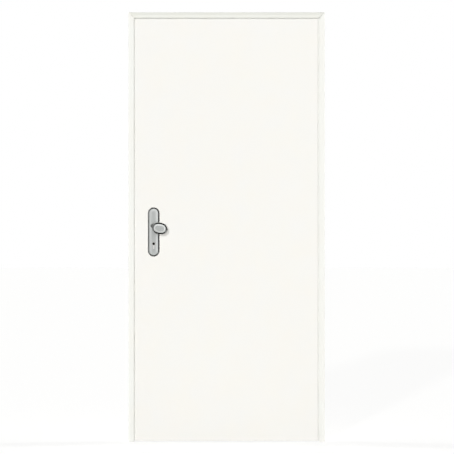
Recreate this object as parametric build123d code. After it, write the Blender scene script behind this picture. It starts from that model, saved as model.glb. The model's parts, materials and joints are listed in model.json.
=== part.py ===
from build123d import *
import os

# An entrance door: a rebated leaf in a timber frame, hung on the right and opening inward.
# The frame is three boards with a facing strip on their front edges, mitred at the top corners.
# Frame of the model: x = 0 on the hinge jamb's wall face, y = 0 at mid depth, z = 0 on the floor.
# The outside, with the knob, faces -Y. All sizes are in millimetres.

# Leaf
leaf_width = 860.0
leaf_height = 1985.0
floor_gap = 5.0
leaf_setback = 2.0
rebate_step = 12.0
core_thickness = 33.0
skin_thickness = 4.0
lock_stile_width = 140.0
hinge_stile_width = 100.0
top_rail_height = 100.0
bottom_rail_height = 140.0
panel_edge_round = 1.0
skin_edge_round = 1.0

# Frame boards and the facing strips that stand in front of them as the leaf's stop
board_thickness = 14.0
lip_width = 13.0
facing_thickness = 8.0
facing_slope_width = 13.0
facing_slope_depth = 5.0
facing_slope_round = 12.0
edge_gap = 5.5
outer_edge_round = 2.0
lip_edge_round = 1.0
board_edge_round = 1.0
mitre_groove = 3.0
mitre_joint = 1.4

# Seal on the frame's stop
seal_width = 8.0
seal_height = 4.0
seal_inset = 2.0
seal_round = 1.5
running_gap = 5.0

# Holes for the screws that fix the frame to the wall
fixing_hole_radius = 4.5
fixing_end_distance = 250.0
fixings_per_jamb = 4

# Hinges
hinge_height = 100.0
hinge_end_distance = 240.0
barrel_radius = 9.0
barrel_gap = 0.3
barrel_roof = 6.0
pin_radius = 5.0
pin_clearance = 0.05
pin_head_radius = 8.0
pin_head_height = 3.0
hinge_plate_thickness = 3.0
hinge_web_thickness = 4.0
leaf_flap_width = 38.0
flap_corner_round = 6.0
barrel_end_round = 1.5

# Lock
handle_backset = 87.0
handle_height = 1005.0
lock_distance = 72.0
forend_width = 20.0
forend_thickness = 3.0
forend_above_latch = 75.0
forend_below_bolt = 75.0
latch_width = 12.0
latch_height = 30.0
latch_slant_depth = 10.0
latch_nose = 3.0
bolt_width = 10.0
bolt_height = 36.0
bolt_length = 40.0
bolt_clearance = 0.3
strike_width = 26.0
strike_thickness = 3.0
strike_margin = 30.0
strike_play = 3.0

# Profile cylinder
cylinder_radius = 8.5
cylinder_tail_radius = 5.0
cylinder_tail_depth = 24.5
cylinder_proud = 2.5
cylinder_edge_round = 0.6
cylinder_clearance = 0.3
plug_radius = 6.5
plug_length = 28.0
plug_clearance = 0.05
keyway_width = 3.6
keyway_height = 11.0
keyway_depth = 24.0

# Plates
plate_width = 55.0
plate_above_handle = 99.5
plate_below_handle = 132.5
plate_thickness = 9.0
plate_rim = 1.0
plate_edge_width = 7.0
plate_edge_height = 4.9
plate_bevel = 11.0
plate_edge_round = 1.0

# Fixed knob outside
knob_offset = 29.5
knob_length = 70.0
knob_height = 54.0
knob_side_radius = 65.0
knob_tilt = 9.0
knob_thickness = 24.0
knob_projection = 62.0
knob_edge_width = 7.0
knob_edge_height = 4.9
knob_crown_width = 7.0
knob_crown_height = 2.1
knob_edge_round = 1.5
knob_back_round = 7.0
neck_rise = 12.0
neck_shift = 5.0
neck_radius = 13.5
neck_sink = 4.0
neck_reach = 36.0
neck_head_rise = 16.0
neck_head_radius = 6.5
neck_entry = 2.0

# Lever inside
lever_radius = 10.0
lever_length = 125.0
lever_standoff = 42.0
lever_bend = 22.0
lever_end_round = 6.0
rose_radius = 14.0
rose_height = 4.0
rose_edge_round = 1.5

# Depths, front to back
panel_thickness = facing_thickness - leaf_setback + seal_height + running_gap
frame_depth = leaf_setback + panel_thickness + core_thickness + skin_thickness
front_y = -frame_depth / 2
back_y = frame_depth / 2
facing_back_y = front_y + facing_thickness
leaf_front_y = front_y + leaf_setback
panel_back_y = leaf_front_y + panel_thickness
core_back_y = panel_back_y + core_thickness

# Widths, from the hinge jamb's wall face towards -X
facing_width = board_thickness + lip_width
panel_right = -(facing_width + edge_gap)
panel_left = panel_right - leaf_width
rear_right = panel_right + rebate_step
rear_left = panel_left - rebate_step
frame_width = leaf_width + 2 * (facing_width + edge_gap)
lock_board_x = -frame_width + board_thickness

# Heights
panel_top = floor_gap + leaf_height
rear_top = panel_top + rebate_step
frame_height = panel_top + edge_gap + facing_width

# Hinge axis: middle of the gap beside the leaf, clear of the inner faces
rear_gap = edge_gap + lip_width - rebate_step
axis_x = rear_right + rear_gap / 2
axis_y = back_y + barrel_radius + running_gap
lower_hinge_z = floor_gap + hinge_end_distance
upper_hinge_z = rear_top - hinge_end_distance
hinge_centres = {
    "lower": lower_hinge_z,
    "middle": (lower_hinge_z + upper_hinge_z) / 2,
    "upper": upper_hinge_z,
}

# Lock positions
handle_x = panel_left + handle_backset
cylinder_z = handle_height - lock_distance
lock_y = panel_back_y + core_thickness / 2

os.makedirs("parts", exist_ok=True)


def block(x0, x1, y0, y1, z0, z1):
    """A box between two corners."""
    size = (x1 - x0, y1 - y0, z1 - z0)
    centre = ((x0 + x1) / 2, (y0 + y1) / 2, (z0 + z1) / 2)
    return Pos(*centre) * Box(*size)


def rod(radius, start, end):
    """A round bar from one point to another."""
    start, end = Vector(*start), Vector(*end)
    plane = Plane(start, z_dir=end - start)
    return extrude(plane * Circle(radius), (end - start).length)


def save(name, shape):
    """Write one piece of the door."""
    export_step(shape, f"parts/{name}.step")


# Facing strips: one section for all three, drawn with the wall side on x = 0 and sloping back towards it
def facing_section():
    slope_end = (0, front_y + facing_slope_depth)
    slope_start = (-facing_slope_width, front_y)
    lip_front = (-facing_width, front_y)
    lip_back = (-facing_width, facing_back_y)
    corners = [slope_end, (0, facing_back_y), lip_back, lip_front, slope_start]
    section = make_face(Polyline(*corners, close=True))
    rounds = {
        slope_end: outer_edge_round,
        slope_start: facing_slope_round,
        lip_front: lip_edge_round,
        lip_back: board_edge_round,
    }
    for corner, radius in rounds.items():
        vertex = section.vertices().sort_by_distance((*corner, 0))[0]
        section = fillet(vertex, radius)
    return section


def mitre_tool(side):
    """The half space above the hinge corner's mitre, or below it for side -1, with half of its gap."""
    reach = 2 * frame_width
    tool = Box(reach, reach, reach)
    tool = Pos(0, 0, side * (reach / 2 - mitre_joint / 2)) * tool
    return Pos(0, 0, frame_height) * Rot(0, -45, 0) * tool


def groove_tool():
    """The square bar that eases the mitre's two front edges."""
    side = mitre_groove / 2**0.5
    length = 4 * facing_width
    bar = Box(length, side, side)
    return Pos(0, front_y, frame_height) * Rot(0, -45, 0) * Rot(45, 0, 0) * bar


def to_lock_side(shape):
    """The same piece on the other side of the door."""
    return shape.mirror(Plane.YZ.offset(-frame_width / 2))


facing = extrude(facing_section(), frame_height)
facing -= mitre_tool(1)
facing -= groove_tool()
save("hinge_side_facing", facing)
save("lock_side_facing", to_lock_side(facing))

head_facing = extrude(facing_section(), frame_width)
head_facing = Pos(0, 0, frame_height) * Rot(0, -90, 0) * head_facing
head_facing -= mitre_tool(-1)
head_facing -= to_lock_side(mitre_tool(-1))
head_facing -= groove_tool()
head_facing -= to_lock_side(groove_tool())
save("head_facing", head_facing)

# Boards: two jambs under a head, with holes for the screws that fix them to the wall
jamb_top = frame_height - board_thickness
fixing_y = (facing_back_y + back_y) / 2
fixing_span = frame_height - 2 * fixing_end_distance
fixing_step = fixing_span / (fixings_per_jamb - 1)
fixing_heights = [fixing_end_distance + fixing_step * index for index in range(fixings_per_jamb)]

jamb = block(-board_thickness, 0, facing_back_y, back_y, 0, jamb_top)
inner_edges = jamb.edges().filter_by(Axis.Z).group_by(Axis.Y)[-1]
jamb = fillet(inner_edges, board_edge_round)
for height in fixing_heights:
    jamb -= rod(fixing_hole_radius, (-board_thickness, fixing_y, height), (0, fixing_y, height))
save("hinge_jamb", jamb)

head = block(-frame_width, 0, facing_back_y, back_y, jamb_top, frame_height)
inner_edges = head.edges().filter_by(Axis.X).group_by(Axis.Y)[-1]
save("head", fillet(inner_edges, board_edge_round))

# The lock jamb adds the strike plate's recess and the pockets for latch and bolt
strike_bottom = cylinder_z - bolt_height / 2 - strike_margin
strike_top = handle_height + latch_height / 2 + strike_margin
strike_pockets = [
    (handle_height, latch_width / 2 + strike_play, latch_height / 2 + strike_play),
    (cylinder_z, bolt_width / 2 + strike_play, bolt_height / 2 + strike_play),
]
lock_jamb = to_lock_side(jamb)
strike_plate = block(
    lock_board_x - strike_thickness,
    lock_board_x,
    lock_y - strike_width / 2,
    lock_y + strike_width / 2,
    strike_bottom,
    strike_top,
)
lock_jamb -= strike_plate
for height, half_y, half_z in strike_pockets:
    pocket = block(
        -frame_width,
        lock_board_x,
        lock_y - half_y,
        lock_y + half_y,
        height - half_z,
        height + half_z,
    )
    lock_jamb -= pocket
    strike_plate -= pocket
save("lock_jamb", lock_jamb)
save("strike_plate", strike_plate)

# Seals: strips on the back of the facing, beside the boards
seal_near = board_thickness + seal_inset
seal_far = seal_near + seal_width
head_seal_z0 = frame_height - seal_far
head_seal_z1 = frame_height - seal_near


def seal_strip(x0, x1, z0, z1, run_axis):
    strip = block(x0, x1, facing_back_y, facing_back_y + seal_height, z0, z1)
    edges = strip.edges().filter_by(run_axis).group_by(Axis.Y)[-1]
    return fillet(edges, seal_round)


hinge_side_seal = seal_strip(-seal_far, -seal_near, 0, head_seal_z0, Axis.Z)
save("hinge_side_seal", hinge_side_seal)
save("lock_side_seal", to_lock_side(hinge_side_seal))
head_seal = seal_strip(seal_near - frame_width, -seal_near, head_seal_z0, head_seal_z1, Axis.X)
save("head_seal", head_seal)


# Leaf: outer panel, a core of stiles, rails and infill, and the inner skin
def cylinder_profile(clearance):
    """The lock cylinder's outline, seen from outside, around its plug."""
    round_part = Circle(cylinder_radius + clearance)
    drop = cylinder_tail_depth - cylinder_tail_radius
    tail = Pos(0, -drop / 2) * Rectangle(2 * (cylinder_tail_radius + clearance), drop)
    tail_end = Pos(0, -drop) * Circle(cylinder_tail_radius + clearance)
    return round_part + tail + tail_end


def through_y(face, x, z, y0, y1):
    """A face drawn as seen from outside, run from y0 back to y1."""
    plane = Plane((x, y0, z), x_dir=(1, 0, 0), z_dir=(0, -1, 0))
    return extrude(plane * face, -(y1 - y0))


cylinder_hole = through_y(
    cylinder_profile(cylinder_clearance), handle_x, cylinder_z, front_y, back_y
)

panel = block(panel_left, panel_right, leaf_front_y, panel_back_y, floor_gap, panel_top)
panel = fillet(panel.faces().sort_by(Axis.Y)[0].edges(), panel_edge_round)
panel -= cylinder_hole
save("leaf_outer_panel", panel)

skin = block(rear_left, rear_right, core_back_y, back_y, floor_gap, rear_top)
skin = fillet(skin.faces().sort_by(Axis.Y)[-1].edges(), skin_edge_round)
skin -= cylinder_hole
save("leaf_inner_skin", skin)

lock_stile_x = rear_left + lock_stile_width
hinge_stile_x = rear_right - hinge_stile_width


def core_piece(x0, x1, z0, z1):
    return block(x0, x1, panel_back_y, core_back_y, z0, z1)


save("hinge_stile", core_piece(hinge_stile_x, rear_right, floor_gap, rear_top))
rail_z0 = floor_gap + bottom_rail_height
rail_z1 = rear_top - top_rail_height
save("bottom_rail", core_piece(lock_stile_x, hinge_stile_x, floor_gap, rail_z0))
save("top_rail", core_piece(lock_stile_x, hinge_stile_x, rail_z1, rear_top))
save("leaf_infill", core_piece(lock_stile_x, hinge_stile_x, rail_z0, rail_z1))

# Lock in the stile's edge: forend, latch and dead bolt, both drawn back flush
forend_top = handle_height + forend_above_latch
forend_bottom = cylinder_z - forend_below_bolt
forend = block(
    rear_left,
    rear_left + forend_thickness,
    lock_y - forend_width / 2,
    lock_y + forend_width / 2,
    forend_bottom,
    forend_top,
)
lock_stile = core_piece(rear_left, lock_stile_x, floor_gap, rear_top)
lock_stile -= cylinder_hole
lock_stile -= forend


def latch_slant():
    """The wedge cut off the latch's outer side, so that it slides in as the leaf shuts."""
    tip_y = lock_y + latch_width / 2 - latch_nose
    side_y = lock_y - latch_width / 2
    corners = [(rear_left, side_y), (rear_left, tip_y), (rear_left + latch_slant_depth, side_y)]
    wedge = make_face(Polyline(*corners, close=True))
    lift = handle_height - latch_height / 2
    return Pos(0, 0, lift) * extrude(wedge, latch_height)


bolts = {
    "latch_bolt": (handle_height, latch_width, latch_height),
    "dead_bolt": (cylinder_z, bolt_width, bolt_height),
}
for name, (height, width, tall) in bolts.items():
    bolt = block(
        rear_left,
        rear_left + bolt_length,
        lock_y - width / 2,
        lock_y + width / 2,
        height - tall / 2,
        height + tall / 2,
    )
    pocket = block(
        rear_left,
        rear_left + bolt_length,
        lock_y - width / 2 - bolt_clearance,
        lock_y + width / 2 + bolt_clearance,
        height - tall / 2 - bolt_clearance,
        height + tall / 2 + bolt_clearance,
    )
    forend -= pocket
    lock_stile -= pocket
    if name == "latch_bolt":
        bolt -= latch_slant()
    save(name, bolt)
save("lock_forend", forend)
save("lock_stile", lock_stile)


# Plates: round ended, with a steep edge and a shallow bevel up to a narrow flat
def lock_plate():
    """A plate lying on z = 0, with the handle's axis at the origin."""
    length = plate_above_handle + plate_below_handle
    middle = (plate_above_handle - plate_below_handle) / 2
    outline = Pos(0, middle) * SlotOverall(length, plate_width, rotation=90)
    shoulder = offset(outline, -plate_edge_width)
    top = offset(outline, -plate_edge_width - plate_bevel)
    shoulder_z = plate_rim + plate_edge_height
    rim = extrude(outline, plate_rim)
    edge = loft([Pos(0, 0, plate_rim) * outline, Pos(0, 0, shoulder_z) * shoulder])
    crown = loft([Pos(0, 0, shoulder_z) * shoulder, Pos(0, 0, plate_thickness) * top])
    plate = rim + edge + crown
    for height in (shoulder_z, plate_thickness):
        plate = fillet(plate.edges().filter_by_position(Axis.Z, height, height), plate_edge_round)
    hole = Pos(0, -lock_distance) * cylinder_profile(cylinder_clearance)
    return plate - extrude(hole, plate_thickness)


outside = Plane((handle_x, leaf_front_y, handle_height), x_dir=(1, 0, 0), z_dir=(0, -1, 0))
inside = Plane((handle_x, back_y, handle_height), x_dir=(-1, 0, 0), z_dir=(0, 1, 0))
save("outer_plate", outside.location * lock_plate())
save("inner_plate", inside.location * lock_plate())

# Profile cylinder, right through the leaf, with a plug at each end
cylinder_y0 = leaf_front_y - plate_thickness - cylinder_proud
cylinder_y1 = back_y + plate_thickness + cylinder_proud
cylinder = through_y(cylinder_profile(0), handle_x, cylinder_z, cylinder_y0, cylinder_y1)
cylinder_ends = cylinder.edges().group_by(Axis.Y)
cylinder = fillet(cylinder_ends[0] + cylinder_ends[-1], cylinder_edge_round)
plug_bores = {
    "outer_plug": (cylinder_y0, 1),
    "inner_plug": (cylinder_y1, -1),
}
for name, (face_y, way) in plug_bores.items():
    mouth = (handle_x, face_y, cylinder_z)
    end = (handle_x, face_y + way * plug_length, cylinder_z)
    cylinder -= rod(plug_radius + plug_clearance, mouth, end)
    plug = rod(plug_radius, mouth, end)
    keyway = block(
        handle_x - keyway_width / 2,
        handle_x + keyway_width / 2,
        min(face_y, face_y + way * keyway_depth),
        max(face_y, face_y + way * keyway_depth),
        cylinder_z - keyway_height / 2,
        cylinder_z + keyway_height / 2,
    )
    save(name, plug - keyway)
save("lock_cylinder", cylinder)


# Knob: a tilted oval head with a steep edge and a shallow crown, on a neck that slants from the plate's axis
knob_half_length = knob_length / 2
knob_half_height = knob_height / 2
knob_side_centre = knob_side_radius - knob_half_height
knob_end_radius = (
    2 * knob_half_height * knob_side_radius - knob_half_length**2 - knob_half_height**2
) / (2 * (knob_side_radius - knob_half_length))


def knob_oval(inset, height):
    """The head's outline of two flat and two round arcs, drawn in by an inset, tilted and lifted."""
    side = Circle(knob_side_radius - inset)
    lens = (Pos(0, knob_side_centre) * side) & (Pos(0, -knob_side_centre) * side)
    oval = fillet(lens.vertices(), knob_end_radius - inset)
    return Pos(knob_offset, 0, height) * Rot(0, 0, -knob_tilt) * oval


def fixed_knob():
    """A knob on the plate's face at z = 0, with the plate's axis at the origin."""
    head_top = knob_projection - plate_thickness
    head_base = head_top - knob_thickness
    shoulder_z = head_top - knob_crown_height
    wall_z = shoulder_z - knob_edge_height
    face_inset = knob_edge_width + knob_crown_width
    knob_head = extrude(knob_oval(0, head_base), wall_z - head_base)
    knob_head += loft([knob_oval(0, wall_z), knob_oval(knob_edge_width, shoulder_z)])
    knob_head += loft([knob_oval(knob_edge_width, shoulder_z), knob_oval(face_inset, head_top)])
    for height in (wall_z, shoulder_z, head_top):
        ring = knob_head.edges().filter_by_position(Axis.Z, height, height)
        knob_head = fillet(ring, knob_edge_round)
    knob_head = fillet(knob_head.faces().sort_by(Axis.Z)[0].edges(), knob_back_round)
    neck_start = Pos(-neck_shift, neck_rise, -neck_sink) * Circle(neck_radius)
    neck_end = Pos(neck_reach, neck_head_rise, head_base + neck_entry) * Circle(neck_head_radius)
    neck = loft([neck_start, neck_end])
    return knob_head + (neck - Pos(0, 0, -plate_thickness) * lock_plate())


outer_face = outside.offset(plate_thickness)
save("outer_knob", outer_face.location * fixed_knob())


# Lever: a round bar that leaves the plate, bends and runs towards the hinges
def lever():
    """A lever on the plate's face at z = 0, pointing along -X as seen from inside."""
    path = FilletPolyline(
        (0, 0, 0), (0, 0, lever_standoff), (-lever_length, 0, lever_standoff), radius=lever_bend
    )
    bar = sweep(Plane.XY * Circle(lever_radius), path)
    bar = fillet(bar.faces().sort_by(Axis.X)[0].edges(), lever_end_round)
    rose = extrude(Circle(rose_radius), rose_height)
    rose = fillet(rose.edges().group_by(Axis.Z)[-1], rose_edge_round)
    return bar + rose


inner_face = inside.offset(plate_thickness)
save("inner_lever", inner_face.location * lever())

# Hinges: the lower half stands on the frame, the upper half on the leaf
frame_flap_x0 = -board_thickness + board_edge_round
frame_flap_x1 = -board_edge_round
leaf_flap_x1 = 2 * axis_x - frame_flap_x0
leaf_flap_x0 = leaf_flap_x1 - leaf_flap_width
flap_back_y = back_y + hinge_plate_thickness
bore_radius = pin_radius + pin_clearance


def on_axis(radius, z0, z1):
    """A round bar on the hinge's axis."""
    return rod(radius, (axis_x, axis_y, z0), (axis_x, axis_y, z1))


def barrel(z0, z1, free_end):
    """A barrel with its free end rounded: the last group of edges is the top, the first the bottom."""
    whole = on_axis(barrel_radius, z0, z1)
    return fillet(whole.edges().filter_by(GeomType.CIRCLE).group_by(Axis.Z)[free_end], barrel_end_round)


for name, middle in hinge_centres.items():
    bottom = middle - hinge_height / 2
    top = middle + hinge_height / 2
    joint_z = middle + barrel_gap
    bore_top = top - barrel_roof

    frame_flap = block(frame_flap_x0, frame_flap_x1, back_y, flap_back_y, bottom, middle)
    frame_web_x1 = frame_flap_x0 + hinge_web_thickness
    frame_web = block(frame_flap_x0, frame_web_x1, back_y, axis_y, bottom, middle)
    frame_part = barrel(bottom, middle, 0) + frame_flap + frame_web
    frame_part -= on_axis(bore_radius, bottom, middle)
    save(f"{name}_hinge_frame_part", frame_part)

    leaf_flap = block(leaf_flap_x0, leaf_flap_x1, back_y, flap_back_y, joint_z, top)
    far_corners = leaf_flap.edges().filter_by(Axis.Y).group_by(Axis.X)[0]
    leaf_flap = fillet(far_corners, flap_corner_round)
    leaf_web_x0 = leaf_flap_x1 - hinge_web_thickness
    leaf_web = block(leaf_web_x0, leaf_flap_x1, back_y, axis_y, joint_z, top)
    leaf_part = barrel(joint_z, top, -1) + leaf_flap + leaf_web
    leaf_part -= on_axis(bore_radius, joint_z, bore_top)
    save(f"{name}_hinge_leaf_part", leaf_part)

    pin = on_axis(pin_radius, bottom, bore_top - barrel_gap)
    pin_head = on_axis(pin_head_radius, bottom - pin_head_height, bottom)
    rim = pin_head.edges().filter_by(GeomType.CIRCLE).group_by(Axis.Z)[0]
    save(f"{name}_hinge_pin", pin + fillet(rim, barrel_end_round))
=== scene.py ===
# %% [markdown]
# # A plain white entrance door
# The shapes of this door come from a CAD model in metres: a rebated leaf, its frame, the lock set and three
# hinges. Blender could model all of that again, but then two models would have to agree. So the CAD pieces
# stay where they are, and this lesson gives them their finish, adds the screws and builds the studio around
# them.

# %% Load the frame
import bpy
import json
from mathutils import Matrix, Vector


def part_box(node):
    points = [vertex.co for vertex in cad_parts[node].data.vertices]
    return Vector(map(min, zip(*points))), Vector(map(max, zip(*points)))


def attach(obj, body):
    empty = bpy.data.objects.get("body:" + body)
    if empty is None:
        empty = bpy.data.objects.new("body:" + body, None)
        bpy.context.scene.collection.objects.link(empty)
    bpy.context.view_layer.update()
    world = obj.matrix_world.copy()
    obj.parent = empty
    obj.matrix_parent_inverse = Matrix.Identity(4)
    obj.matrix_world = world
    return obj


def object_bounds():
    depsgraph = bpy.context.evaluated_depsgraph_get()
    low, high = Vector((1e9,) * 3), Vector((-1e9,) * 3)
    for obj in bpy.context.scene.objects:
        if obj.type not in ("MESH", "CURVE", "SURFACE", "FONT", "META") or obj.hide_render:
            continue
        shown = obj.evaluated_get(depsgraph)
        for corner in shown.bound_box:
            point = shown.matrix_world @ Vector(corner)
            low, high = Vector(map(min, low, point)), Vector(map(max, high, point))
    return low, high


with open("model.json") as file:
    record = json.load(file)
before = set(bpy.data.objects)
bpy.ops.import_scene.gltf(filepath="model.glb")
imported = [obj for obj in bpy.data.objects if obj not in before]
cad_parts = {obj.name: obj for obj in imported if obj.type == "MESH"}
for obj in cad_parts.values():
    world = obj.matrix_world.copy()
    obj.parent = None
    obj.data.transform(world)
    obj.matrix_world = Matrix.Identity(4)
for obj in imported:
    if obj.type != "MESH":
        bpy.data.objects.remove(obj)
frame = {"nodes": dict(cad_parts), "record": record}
nodes = frame["nodes"]
print("pieces from CAD:", len(nodes))

# %% [markdown]
# ## The door's own box
# The dressed door must not outgrow the CAD model. Its box is measured now, before anything is added.

# %% Measure the CAD box
import json
import math
import bmesh
import bpy
from mathutils import Vector

cad_low, cad_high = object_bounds()
door_size = cad_high - cad_low
print("CAD box in metres:", [round(side, 4) for side in door_size])

# %% [markdown]
# ## Colours as they are seen
# A colour picked from a swatch is an sRGB value, but shaders work in linear light. One function turns the
# hex values used below into linear ones, so that a white door renders as the white that was written.

# %% Turn hex colours to linear
MM = 0.001


def linear(hex_colour):
    """The linear RGBA of an sRGB hex colour such as #F8F7F3."""
    shares = [int(hex_colour[start:start + 2], 16) / 255 for start in (1, 3, 5)]
    curve = [s / 12.92 if s <= 0.04045 else ((s + 0.055) / 1.055) ** 2.4 for s in shares]
    return (*curve, 1.0)


print("door white in linear light:", [round(share, 3) for share in linear("#F8F7F3")[:3]])

# %% [markdown]
# ## One helper for shader nodes
# Node trees could be drawn by hand or written with a function for each kind of node. One small helper is
# enough: it makes a node, fills in its settings and plugs in its links.

# %% Add a node
def add_node(tree, kind, settings=None, links=None):
    """A new node: settings are properties or input values, links are sockets that feed its inputs."""
    node = tree.nodes.new(kind)
    for name, value in (settings or {}).items():
        if isinstance(name, str) and hasattr(node, name):
            setattr(node, name, value)
        else:
            node.inputs[name].default_value = value
    for name, socket in (links or {}).items():
        tree.links.new(socket, node.inputs[name])
    return node


def start_material(name, settings):
    """A new material with constant values on its shader, its node tree and its coordinates in metres."""
    material = bpy.data.materials.new(name)
    material.use_nodes = True
    tree = material.node_tree
    shader = tree.nodes["Principled BSDF"]
    for socket, value in settings.items():
        shader.inputs[socket].default_value = value
    place = add_node(tree, "ShaderNodeTexCoord").outputs["Object"]
    return material, tree, shader, place


def ramp_between(tree, source, stops):
    """A colour ramp from a list of (position, linear colour)."""
    ramp = add_node(tree, "ShaderNodeValToRGB", links={"Fac": source})
    elements = ramp.color_ramp.elements
    while len(elements) < len(stops):
        elements.new(0.5)
    for element, (position, colour) in zip(elements, stops):
        element.position = position
        element.color = colour
    return ramp.outputs["Color"]


print("helpers ready")

# %% [markdown]
# ## Satin white lacquer on board and timber
# The leaf and the frame are sprayed with satin acrylic lacquer. To the eye that is an even warm white with
# a soft sheen, faint clouds where the coat is a little thicker, and the fine ripple that painters call
# orange peel. The ripple is about 3 mm wide, the clouds about 120 mm. Timber edges let a little of their
# grain through. The facing over the head has the same lacquer, painted one shade darker as painted shade,
# as if less light fell on the head. Four materials drawn one by one would repeat each other, so one
# function mixes them all.

# %% Make the lacquers
CLOUD_WIDTH = 120 * MM
PEEL_WIDTH = 3 * MM
PEEL_DEPTH = 0.05 * MM
GRAIN_WIDTH = 2 * MM
GRAIN_LENGTH = 80 * MM


def sprayed_lacquer(name, pale, warm, grain_depth_mm):
    """Lacquer that clouds between two whites, over grain of the given depth running along Z."""
    material, tree, shader, place = start_material(name, {"Roughness": 0.42, "IOR": 1.49})
    cloud_settings = {"Scale": 1 / CLOUD_WIDTH, "Detail": 3.0}
    cloud = add_node(tree, "ShaderNodeTexNoise", cloud_settings, {"Vector": place})
    colour = ramp_between(tree, cloud.outputs["Fac"], [(0.3, linear(pale)), (0.7, linear(warm))])
    tree.links.new(colour, shader.inputs["Base Color"])
    sheen = add_node(
        tree,
        "ShaderNodeMapRange",
        {"To Min": 0.38, "To Max": 0.46},
        {"Value": cloud.outputs["Fac"]},
    )
    tree.links.new(sheen.outputs["Result"], shader.inputs["Roughness"])
    peel = add_node(tree, "ShaderNodeTexNoise", {"Scale": 1 / PEEL_WIDTH, "Detail": 2.0}, {"Vector": place})
    bump = add_node(
        tree,
        "ShaderNodeBump",
        {"Strength": 0.08, "Distance": PEEL_DEPTH},
        {"Height": peel.outputs["Fac"]},
    )
    if grain_depth_mm:
        stretch = add_node(
            tree,
            "ShaderNodeMapping",
            {"Scale": (1 / GRAIN_WIDTH, 1 / GRAIN_WIDTH, 1 / GRAIN_LENGTH)},
            {"Vector": place},
        )
        grain = add_node(
            tree, "ShaderNodeTexNoise", {"Scale": 1.0, "Detail": 4.0}, {"Vector": stretch.outputs["Vector"]}
        )
        bump = add_node(
            tree,
            "ShaderNodeBump",
            {"Strength": 0.3, "Distance": grain_depth_mm * MM},
            {"Height": grain.outputs["Fac"], "Normal": bump.outputs["Normal"]},
        )
    tree.links.new(bump.outputs["Normal"], shader.inputs["Normal"])
    return material


leaf_lacquer = sprayed_lacquer("satin_lacquer_on_board", "#F8F7F3", "#F9F7F1", 0)
frame_lacquer = sprayed_lacquer("satin_lacquer_on_timber_frame", "#F6F7F2", "#F7F6F0", 0)
# The head facing's slightly darker whites are painted shade, not a different coat.
head_painted_shade_lacquer = sprayed_lacquer("satin_lacquer_with_painted_shade_on_head", "#EFF0E9", "#F0F0E7", 0)
edge_lacquer = sprayed_lacquer("satin_lacquer_on_timber_edge", "#F7F7F4", "#F7F7F2", 0.1)
lacquers = (leaf_lacquer, frame_lacquer, head_painted_shade_lacquer, edge_lacquer)
print("lacquers:", ", ".join(lacquer.name for lacquer in lacquers))

# %% [markdown]
# ## Anodised aluminium on the lock set
# The plates are pressed from aluminium, brushed along their length and anodised. The eye sees a soft grey
# metal with fine streaks. The knob and the lever are blasted with fine grit before anodising, so they have
# no streaks, only a slight cloudiness. Real brushing is a tenth of a millimetre apart: here it is 1.2 mm,
# so that it shows.

# %% Make the aluminiums
BRUSH_WIDTH = 1.2 * MM
BRUSH_LENGTH = 70 * MM
TOOTH_DEPTH = 0.02 * MM
METAL_CLOUD_WIDTH = 15 * MM


def brushed_aluminium():
    """Grey metal whose streaks along Z vary its colour, its sheen and its surface."""
    material, tree, shader, place = start_material("brushed_anodised_aluminium", {"Metallic": 1.0})
    stretch = add_node(
        tree,
        "ShaderNodeMapping",
        {"Scale": (1 / BRUSH_WIDTH, 1 / BRUSH_WIDTH, 1 / BRUSH_LENGTH)},
        {"Vector": place},
    )
    streaks = add_node(
        tree, "ShaderNodeTexNoise", {"Scale": 1.0, "Detail": 3.0}, {"Vector": stretch.outputs["Vector"]}
    )
    colour = ramp_between(
        tree, streaks.outputs["Fac"], [(0.3, linear("#BFC2C0")), (0.7, linear("#CDD0CE"))]
    )
    tree.links.new(colour, shader.inputs["Base Color"])
    satin = add_node(
        tree, "ShaderNodeMapRange", {"To Min": 0.26, "To Max": 0.36}, {"Value": streaks.outputs["Fac"]}
    )
    tree.links.new(satin.outputs["Result"], shader.inputs["Roughness"])
    bump = add_node(
        tree,
        "ShaderNodeBump",
        {"Strength": 0.15, "Distance": TOOTH_DEPTH},
        {"Height": streaks.outputs["Fac"]},
    )
    tree.links.new(bump.outputs["Normal"], shader.inputs["Normal"])
    return material


def blasted_metal(name, dark, pale, grit_mm, rough_low, rough_high):
    """Metal with an even fine tooth: its grit gives the bump, wider clouds give colour and sheen."""
    material, tree, shader, place = start_material(name, {"Metallic": 1.0})
    cloud_settings = {"Scale": 1 / METAL_CLOUD_WIDTH, "Detail": 4.0}
    cloud = add_node(tree, "ShaderNodeTexNoise", cloud_settings, {"Vector": place})
    colour = ramp_between(tree, cloud.outputs["Fac"], [(0.3, linear(dark)), (0.7, linear(pale))])
    tree.links.new(colour, shader.inputs["Base Color"])
    satin = add_node(
        tree,
        "ShaderNodeMapRange",
        {"To Min": rough_low, "To Max": rough_high},
        {"Value": cloud.outputs["Fac"]},
    )
    tree.links.new(satin.outputs["Result"], shader.inputs["Roughness"])
    grit_settings = {"Scale": 1 / (grit_mm * MM), "Detail": 1.0}
    grit = add_node(tree, "ShaderNodeTexNoise", grit_settings, {"Vector": place})
    bump = add_node(
        tree, "ShaderNodeBump", {"Strength": 0.1, "Distance": TOOTH_DEPTH}, {"Height": grit.outputs["Fac"]}
    )
    tree.links.new(bump.outputs["Normal"], shader.inputs["Normal"])
    return material


plate_aluminium = brushed_aluminium()
handle_aluminium = blasted_metal("blasted_anodised_aluminium", "#C8CBC9", "#D0D3D1", 0.8, 0.18, 0.24)
print("aluminiums:", plate_aluminium.name, handle_aluminium.name)

# %% [markdown]
# ## Plated steel and brass
# Hinges, forend, strike and bolts are steel with a matt nickel plating: a warm grey with a blurred gloss.
# The lock cylinder is brass under bright nickel, so it is paler and shinier. Both have the fine tooth of
# plated metal.

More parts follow.
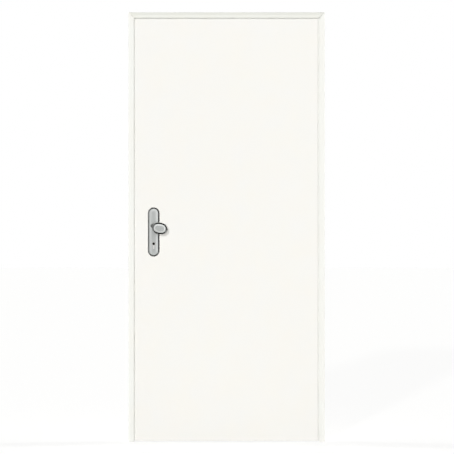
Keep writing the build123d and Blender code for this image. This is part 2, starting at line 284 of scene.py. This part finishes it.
# %% Make the plated metals
hinge_steel = blasted_metal("matt_nickel_plated_steel", "#B4B2AC", "#C0BEB8", 1.0, 0.3, 0.42)
cylinder_nickel = blasted_metal("nickel_plated_brass", "#E6E6E3", "#EEEEEB", 0.6, 0.16, 0.24)
print("plated metals:", hinge_steel.name, cylinder_nickel.name)

# %% [markdown]
# ## The plugs and their keyways
# A plug's face is painted dark grey and the keyway inside it nearly black. Both are painted shade, so that
# the keyhole shows as a dark spot, where a bright slot would throw the room's light straight back. Two
# materials would need a cut through the mesh. One is enough when its colour follows the depth behind the
# face.

# %% Make the plugs' brass
KEYWAY_SHADE_FADE = 2 * MM


def keyway_painted_shade(name, face_y):
    """Painted shade: dark grey on the plug's face, nearly black from 1 mm behind it."""
    material, tree, shader, place = start_material(name, {"Metallic": 1.0, "Roughness": 0.24})
    split = add_node(tree, "ShaderNodeSeparateXYZ", links={0: place})
    away = add_node(tree, "ShaderNodeMath", {"operation": "SUBTRACT", 1: face_y}, {0: split.outputs["Y"]})
    depth = add_node(tree, "ShaderNodeMath", {"operation": "ABSOLUTE"}, {0: away.outputs[0]})
    share = add_node(tree, "ShaderNodeMapRange", {"From Max": KEYWAY_SHADE_FADE}, {"Value": depth.outputs[0]})
    # Painted shade: dark grey on the plug's face, nearly black in the keyway.
    stops = [(0.25, linear("#3E3C38")), (0.5, linear("#14120F"))]
    tree.links.new(ramp_between(tree, share.outputs["Result"], stops), shader.inputs["Base Color"])
    return material


outer_plug_painted_shade = keyway_painted_shade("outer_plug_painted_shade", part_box("outer_plug")[0].y)
inner_plug_painted_shade = keyway_painted_shade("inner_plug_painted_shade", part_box("inner_plug")[1].y)
print("plug metals:", outer_plug_painted_shade.name, inner_plug_painted_shade.name)

# %% [markdown]
# ## Extruded rubber seal
# The seal is a pale soft rubber, extruded as a strip. It has no shine to speak of, and its die leaves faint
# lines about 1.5 mm apart. They could be cut into the mesh, but at that size a stretched noise does as
# well.

# %% Make the rubber
DIE_LINE_WIDTH = 1.5 * MM
DIE_LINE_LENGTH = 200 * MM
DIE_LINE_DEPTH = 0.05 * MM


def extruded_rubber():
    """Dull pale rubber with faint lines along Z."""
    material, tree, shader, place = start_material("pale_extruded_rubber", {"Roughness": 0.62, "IOR": 1.52})
    stretch = add_node(
        tree,
        "ShaderNodeMapping",
        {"Scale": (1 / DIE_LINE_WIDTH, 1 / DIE_LINE_WIDTH, 1 / DIE_LINE_LENGTH)},
        {"Vector": place},
    )
    lines = add_node(
        tree, "ShaderNodeTexNoise", {"Scale": 1.0, "Detail": 2.0}, {"Vector": stretch.outputs["Vector"]}
    )
    colour = ramp_between(tree, lines.outputs["Fac"], [(0.3, linear("#DAD9D2")), (0.7, linear("#E6E5DE"))])
    tree.links.new(colour, shader.inputs["Base Color"])
    bump_settings = {"Strength": 0.3, "Distance": DIE_LINE_DEPTH}
    bump = add_node(tree, "ShaderNodeBump", bump_settings, {"Height": lines.outputs["Fac"]})
    tree.links.new(bump.outputs["Normal"], shader.inputs["Normal"])
    return material


seal_rubber = extruded_rubber()
print("rubber:", seal_rubber.name)

# %% [markdown]
# ## Give each CAD piece its finish
# The record names one material slot for each piece of the door. A finish could be picked piece by piece,
# but the slots already sort them, so one table is enough. A second, short one holds the exceptions: the
# facing over the head, the knob, the lever and the two plugs.

# %% Assign the finishes
finishes = {
    "frame_lacquer": frame_lacquer,
    "leaf_lacquer": leaf_lacquer,
    "leaf_edge_lacquer": edge_lacquer,
    "seal_rubber": seal_rubber,
    "fitting_aluminium": plate_aluminium,
    "hardware_steel": hinge_steel,
    "cylinder_nickel": cylinder_nickel,
}
special_finishes = {
    # Painted shade: the head facing takes a darker lacquer.
    "head_facing": head_painted_shade_lacquer,
    "outer_knob": handle_aluminium,
    "inner_lever": handle_aluminium,
    # Painted shade: dark plug faces and nearly black keyways.
    "outer_plug": outer_plug_painted_shade,
    "inner_plug": inner_plug_painted_shade,
}
for subpart in frame["record"]["subparts"]:
    node_name = subpart["node"]
    finish = special_finishes.get(node_name, finishes[subpart["material_slot"]])
    mesh = nodes[node_name].data
    mesh.materials.clear()
    mesh.materials.append(finish)

# %% [markdown]
# ## Screws
# Hinges, strike, forend and the inside plate are held by screws with low raised heads and a hexagon socket.
# A screw head could be a lathe curve with a boolean cut, but rings of points bridged by faces give a clean
# closed mesh: a low dome, then a ring pressed into hexagon shape, its walls and its floor.

# %% Build a screw head
RING_POINTS = 24


def ring_offsets(radius, hexagon):
    """Points of a circle, or of the hexagon with that radius to its corners."""
    offsets = []
    for index in range(RING_POINTS):
        angle = 2 * math.pi * index / RING_POINTS
        reach = radius
        if hexagon:
            from_side = (angle % (math.pi / 3)) - math.pi / 6
            reach = radius * math.cos(math.pi / 6) / math.cos(from_side)
        offsets.append((reach * math.cos(angle), reach * math.sin(angle)))
    return offsets


def add_screw(mesh, centre, normal, radius, height):
    """A raised head on a surface point, with its back a little below the surface."""
    normal = Vector(normal)
    side = normal.orthogonal().normalized()
    up = normal.cross(side)
    # Each ring: share of the radius, share of the height, and whether it is a hexagon.
    profile = [
        (1.0, -0.3, False),
        (1.0, 0.35, False),
        (0.93, 0.6, False),
        (0.75, 0.9, False),
        (0.56, 1.0, False),
        (0.5, 1.0, True),
        (0.48, 0.1, True),
    ]
    rings = []
    for share, lift, hexagon in profile:
        base = Vector(centre) + normal * height * lift
        points = ring_offsets(radius * share, hexagon)
        rings.append([mesh.verts.new(base + side * a + up * b) for a, b in points])
    for lower, upper in zip(rings, rings[1:]):
        for index in range(RING_POINTS):
            after = (index + 1) % RING_POINTS
            mesh.faces.new((lower[index], lower[after], upper[after], upper[index]))
    mesh.faces.new(list(reversed(rings[0])))
    mesh.faces.new(rings[-1])


def screw_set(name, body, places, normal, radius, height):
    """All screws of one kind as one piece that moves with a body."""
    mesh = bmesh.new()
    for place in places:
        add_screw(mesh, place, normal, radius, height)
    bmesh.ops.recalc_face_normals(mesh, faces=mesh.faces)
    data = bpy.data.meshes.new(name)
    mesh.to_mesh(data)
    mesh.free()
    data.materials.append(hinge_steel)
    piece = bpy.data.objects.new(name, data)
    bpy.context.scene.collection.objects.link(piece)
    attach(piece, body)
    print(name, "has", len(places), "screws")
    return piece


print("points on each ring of a screw head:", RING_POINTS)

# %% [markdown]
# ## Screws on the hinges
# Each hinge has a flap on the leaf with three screws, and a narrow flap on the frame with two. Their places
# follow the flaps' own boxes, so they stay right if a hinge moves.

# %% Screw the hinges down
FLAP_THICKNESS = 3 * MM
HINGE_SCREW_RADIUS = 3.6 * MM
FRAME_SCREW_RADIUS = 2.6 * MM
SCREW_HEIGHT = 1.0 * MM
LEAF_FAR_ROW = 8 * MM
LEAF_NEAR_ROW = 23 * MM
LEAF_FLAP_END = 10 * MM
FRAME_ROW = 3.6 * MM
FRAME_FLAP_END = 12 * MM
INWARD = (0, 1, 0)
leaf_places = []
frame_places = []
for hinge in ("lower", "middle", "upper"):
    low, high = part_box(f"{hinge}_hinge_leaf_part")
    flap_y = low.y + FLAP_THICKNESS
    middle_z = (low.z + high.z) / 2
    leaf_places.append((low.x + LEAF_FAR_ROW, flap_y, low.z + LEAF_FLAP_END))
    leaf_places.append((low.x + LEAF_FAR_ROW, flap_y, high.z - LEAF_FLAP_END))
    leaf_places.append((low.x + LEAF_NEAR_ROW, flap_y, middle_z))
    low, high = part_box(f"{hinge}_hinge_frame_part")
    for height in (low.z + FRAME_FLAP_END, high.z - FRAME_FLAP_END):
        frame_places.append((high.x - FRAME_ROW, low.y + FLAP_THICKNESS, height))
screw_set("hinge_leaf_screws", "leaf", leaf_places, INWARD, HINGE_SCREW_RADIUS, SCREW_HEIGHT)
screw_set("hinge_frame_screws", "frame", frame_places, INWARD, FRAME_SCREW_RADIUS, SCREW_HEIGHT)

# %% [markdown]
# ## Screws on the lock
# Forend and strike are let in flush and face each other across a narrow gap, so their screws are nearly
# flush too. One more screw below the dead bolt holds the cylinder. The inside plate has two, above and
# below, and the outside has none that could be undone.

# %% Screw the lock set down
FLUSH_HEIGHT = 0.4 * MM
LOCK_SCREW_RADIUS = 3.5 * MM
PLATE_SCREW_RADIUS = 4.5 * MM
END_DISTANCE = 11 * MM
CYLINDER_SCREW_DROP = 9 * MM
PLATE_LOW_END = 22 * MM
PLATE_HIGH_END = 24 * MM

low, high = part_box("strike_plate")
middle_y = (low.y + high.y) / 2
strike_places = [(high.x, middle_y, low.z + END_DISTANCE), (high.x, middle_y, high.z - END_DISTANCE)]
screw_set("strike_screws", "frame", strike_places, (1, 0, 0), LOCK_SCREW_RADIUS, FLUSH_HEIGHT)

low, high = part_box("lock_forend")
bolt_low, bolt_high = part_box("dead_bolt")
below_bolt = bolt_low.z - CYLINDER_SCREW_DROP
forend_places = [
    (low.x, middle_y, height) for height in (low.z + END_DISTANCE, below_bolt, high.z - END_DISTANCE)
]
screw_set("forend_screws", "leaf", forend_places, (-1, 0, 0), LOCK_SCREW_RADIUS, FLUSH_HEIGHT)

low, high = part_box("inner_plate")
middle_x = (low.x + high.x) / 2
plate_places = [(middle_x, high.y, low.z + PLATE_LOW_END), (middle_x, high.y, high.z - PLATE_HIGH_END)]
screw_set("inner_plate_screws", "leaf", plate_places, INWARD, PLATE_SCREW_RADIUS, SCREW_HEIGHT)

# %% [markdown]
# ## The studio floor
# The door stands on a pale floor that melts into a white background, but still takes its shadow. A plain
# white floor would go grey towards the horizon. So it is partly a diffuse white, which holds the shadow,
# and partly a glow that only the camera and reflections see, which lifts it to white and puts no light on
# the door.

# %% Lay the floor
FLOOR_REACH = 60.0
FLOOR_GLOW = 0.75


def rays_that_see(tree):
    """One for rays from the camera and for those that show in glossy or clear surfaces, zero for others."""
    rays = add_node(tree, "ShaderNodeLightPath")
    seen = rays.outputs["Is Camera Ray"]
    for kind in ("Is Glossy Ray", "Is Transmission Ray"):
        links = {0: seen, 1: rays.outputs[kind]}
        seen = add_node(tree, "ShaderNodeMath", {"operation": "MAXIMUM"}, links).outputs[0]
    return seen


def studio_floor():
    """A matt white that also glows for the rays that see it."""
    material = bpy.data.materials.new("studio_floor_white")
    material.use_nodes = True
    tree = material.node_tree
    tree.nodes.clear()
    glow_settings = {"operation": "MULTIPLY", 1: FLOOR_GLOW}
    glow = add_node(tree, "ShaderNodeMath", glow_settings, {0: rays_that_see(tree)})
    light = add_node(tree, "ShaderNodeEmission", {"Color": linear("#FFFFFF")}, {"Strength": glow.outputs[0]})
    matt = add_node(tree, "ShaderNodeBsdfDiffuse", {"Color": linear("#B0B0AE")})
    both = add_node(tree, "ShaderNodeAddShader", links={0: light.outputs[0], 1: matt.outputs[0]})
    add_node(tree, "ShaderNodeOutputMaterial", links={"Surface": both.outputs[0]})
    return material


floor_mesh = bpy.data.meshes.new("studio_floor")
corners = [(-1, -1), (1, -1), (1, 1), (-1, 1)]
floor_points = [(FLOOR_REACH * x, FLOOR_REACH * y, cad_low.z) for x, y in corners]
floor_mesh.from_pydata(floor_points, [], [(0, 1, 2, 3)])
floor_mesh.materials.append(studio_floor())
floor = bpy.data.objects.new("studio_floor", floor_mesh)
bpy.context.scene.collection.objects.link(floor)
print("floor at z =", round(cad_low.z, 4))

# %% [markdown]
# ## The background
# The background is white for the camera and for what glossy and clear surfaces show of it. The light that
# the room puts on the door is weaker than that, so that the lamps can shape it.

# %% Build the room
ROOM_LIGHT = 0.12


def studio_room():
    """White for the rays that see it, a weak light for all others."""
    world = bpy.data.worlds.new("studio_room")
    world.use_nodes = True
    tree = world.node_tree
    tree.nodes.clear()
    white = add_node(tree, "ShaderNodeBackground", {"Color": linear("#FFFFFF"), "Strength": 1.0})
    soft = add_node(tree, "ShaderNodeBackground", {"Color": linear("#FFFFFF"), "Strength": ROOM_LIGHT})
    both = add_node(
        tree, "ShaderNodeMixShader", links={0: rays_that_see(tree), 1: soft.outputs[0], 2: white.outputs[0]}
    )
    add_node(tree, "ShaderNodeOutputWorld", links={"Surface": both.outputs[0]})
    return world


bpy.context.scene.world = studio_room()
print("room light:", ROOM_LIGHT)

# %% [markdown]
# ## Cards for the metal
# Metal in an all white room looks like paper. A product studio sets up cards out of the picture: dark ones,
# which steep edges reflect as an outline, and bright ones, which lift the shallow bevels. Dark cards stand
# left and right, hang above and lie on the floor. A grey one behind the camera calms the flat faces. Only
# reflections see them.

# %% Set up the cards
def card(name, brightness, corner, along, across):
    """A card from one corner along two edges, as bright as given, seen by reflections alone."""
    first = Vector(corner)
    edges = (Vector(along), Vector(across))
    outline = [first, first + edges[0], first + edges[0] + edges[1], first + edges[1]]
    data = bpy.data.meshes.new(name)
    data.from_pydata(outline, [], [(0, 1, 2, 3)])
    material = bpy.data.materials.new(name)
    material.use_nodes = True
    tree = material.node_tree
    tree.nodes.clear()
    glow = add_node(tree, "ShaderNodeEmission", {"Color": linear("#FFFFFF"), "Strength": brightness})
    add_node(tree, "ShaderNodeOutputMaterial", links={"Surface": glow.outputs[0]})
    data.materials.append(material)
    board = bpy.data.objects.new(name, data)
    for ray in ("camera", "diffuse", "transmission", "volume_scatter", "shadow"):
        setattr(board, "visible_" + ray, False)
    bpy.context.scene.collection.objects.link(board)
    return board


CARD_AWAY = 1.6
CARD_BACK = 1.1
LOW_CARD_LIFT = 5 * MM
left_x = cad_low.x - CARD_AWAY
right_x = cad_high.x + CARD_AWAY
top_z = cad_high.z + CARD_AWAY
height = (0, 0, top_z)
width = (right_x - left_x, 0, 0)

# The card on the floor ends in front of the knob, so its reach behind the door's middle is negative.
dark_cards = {
    "left_dark_card": {"glow": 0.25, "x": left_x, "z": 0, "ahead": 1.6, "back": CARD_BACK, "edge": height},
    "right_dark_card": {"glow": 0.01, "x": right_x, "z": 0, "ahead": 2.2, "back": CARD_BACK, "edge": height},
    "top_dark_card": {"glow": 0.01, "x": left_x, "z": top_z, "ahead": 2.4, "back": CARD_BACK, "edge": width},
    "low_dark_card": {
        "glow": 0.01, "x": left_x, "z": LOW_CARD_LIFT, "ahead": 0.8, "back": cad_low.y, "edge": width
    },
}
for name, place in dark_cards.items():
    corner = (place["x"], -place["ahead"], place["z"])
    card(name, place["glow"], corner, (0, place["ahead"] + place["back"], 0), place["edge"])

front_cards = {
    "camera_card": {"glow": 0.75, "x": -4.8, "z": 0, "ahead": 16.0, "wide": 8.0, "high": 5.7},
    "left_bright_card": {"glow": 1.15, "x": -4.6, "z": 0, "ahead": 4.0, "wide": 2.0, "high": 3.0},
    "right_bright_card": {"glow": 1.4, "x": 1.0, "z": 0, "ahead": 4.0, "wide": 2.0, "high": 3.0},
    "top_bright_card": {"glow": 1.4, "x": -2.8, "z": 2.9, "ahead": 4.0, "wide": 4.0, "high": 2.0},
}
for name, place in front_cards.items():
    corner = (place["x"], -place["ahead"], place["z"])
    card(name, place["glow"], corner, (place["wide"], 0, 0), (0, 0, place["high"]))
print("cards stand", CARD_AWAY, "m off the door")

# %% [markdown]
# ## The lamps
# A light beside the camera reaches into the narrow gap round the leaf, so that it shows as a faint line.
# The knob's soft shadow falls a little to the right and down, so a weaker key light stands left of the
# camera and higher. Lamps at both sides, behind and above light the faces that turn away and don't reach
# the front. Near lamps would leave the door's foot dark. Sun lamps are far ones: the disc's angle sets how
# soft their shadows are.

# %% Hang the lamps
lamp_table = {
    "front_light": {"strength": 1.52, "left_deg": 1.5, "up_deg": 0.8, "disc_deg": 1.4},
    "key_light": {"strength": 1.1, "left_deg": 9.5, "up_deg": 10.5, "disc_deg": 2},
    "left_light": {"strength": 2.2, "left_deg": 106, "up_deg": 10, "disc_deg": 8},
    "right_light": {"strength": 2.2, "left_deg": -101.5, "up_deg": 10, "disc_deg": 8},
    "back_light": {"strength": 1.0, "left_deg": 176, "up_deg": 8, "disc_deg": 8},
    "top_light": {"strength": 0.25, "left_deg": 180, "up_deg": 76, "disc_deg": 12},
}
for name, settings in lamp_table.items():
    data = bpy.data.lights.new(name, "SUN")
    data.energy = settings["strength"]
    data.angle = math.radians(settings["disc_deg"])
    lamp = bpy.data.objects.new(name, data)
    tilt = math.radians(90 - settings["up_deg"])
    lamp.rotation_euler = (tilt, 0, math.radians(-settings["left_deg"]))
    lamp.visible_glossy = False
    bpy.context.scene.collection.objects.link(lamp)
print("lamps:", ", ".join(lamp_table))

# %% [markdown]
# ## The camera
# The photograph looks at the door square on, from far enough that its sides stay parallel. A camera 14 m
# away at the door's mid height does the same. The lens follows from how much of the scene the square
# picture takes in.

# %% Place the camera
PICTURE_SIDE_M = 2.137
CAMERA_DISTANCE_M = 14.0
AIM_X_M = -0.4604
AIM_Z_M = 1.0117
SENSOR_WIDTH_MM = 36
camera_data = bpy.data.cameras.new("camera")
camera_data.sensor_width = SENSOR_WIDTH_MM
camera_data.lens = SENSOR_WIDTH_MM * CAMERA_DISTANCE_M / PICTURE_SIDE_M
camera = bpy.data.objects.new("camera", camera_data)
facing_low, facing_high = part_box("head_facing")
camera.location = (AIM_X_M, facing_low.y - CAMERA_DISTANCE_M, AIM_Z_M)
camera.rotation_euler = (math.radians(90), 0, 0)
bpy.context.scene.collection.objects.link(camera)
bpy.context.scene.camera = camera
bpy.context.scene.view_settings.view_transform = "Standard"
print("lens:", round(camera_data.lens, 1), "mm")
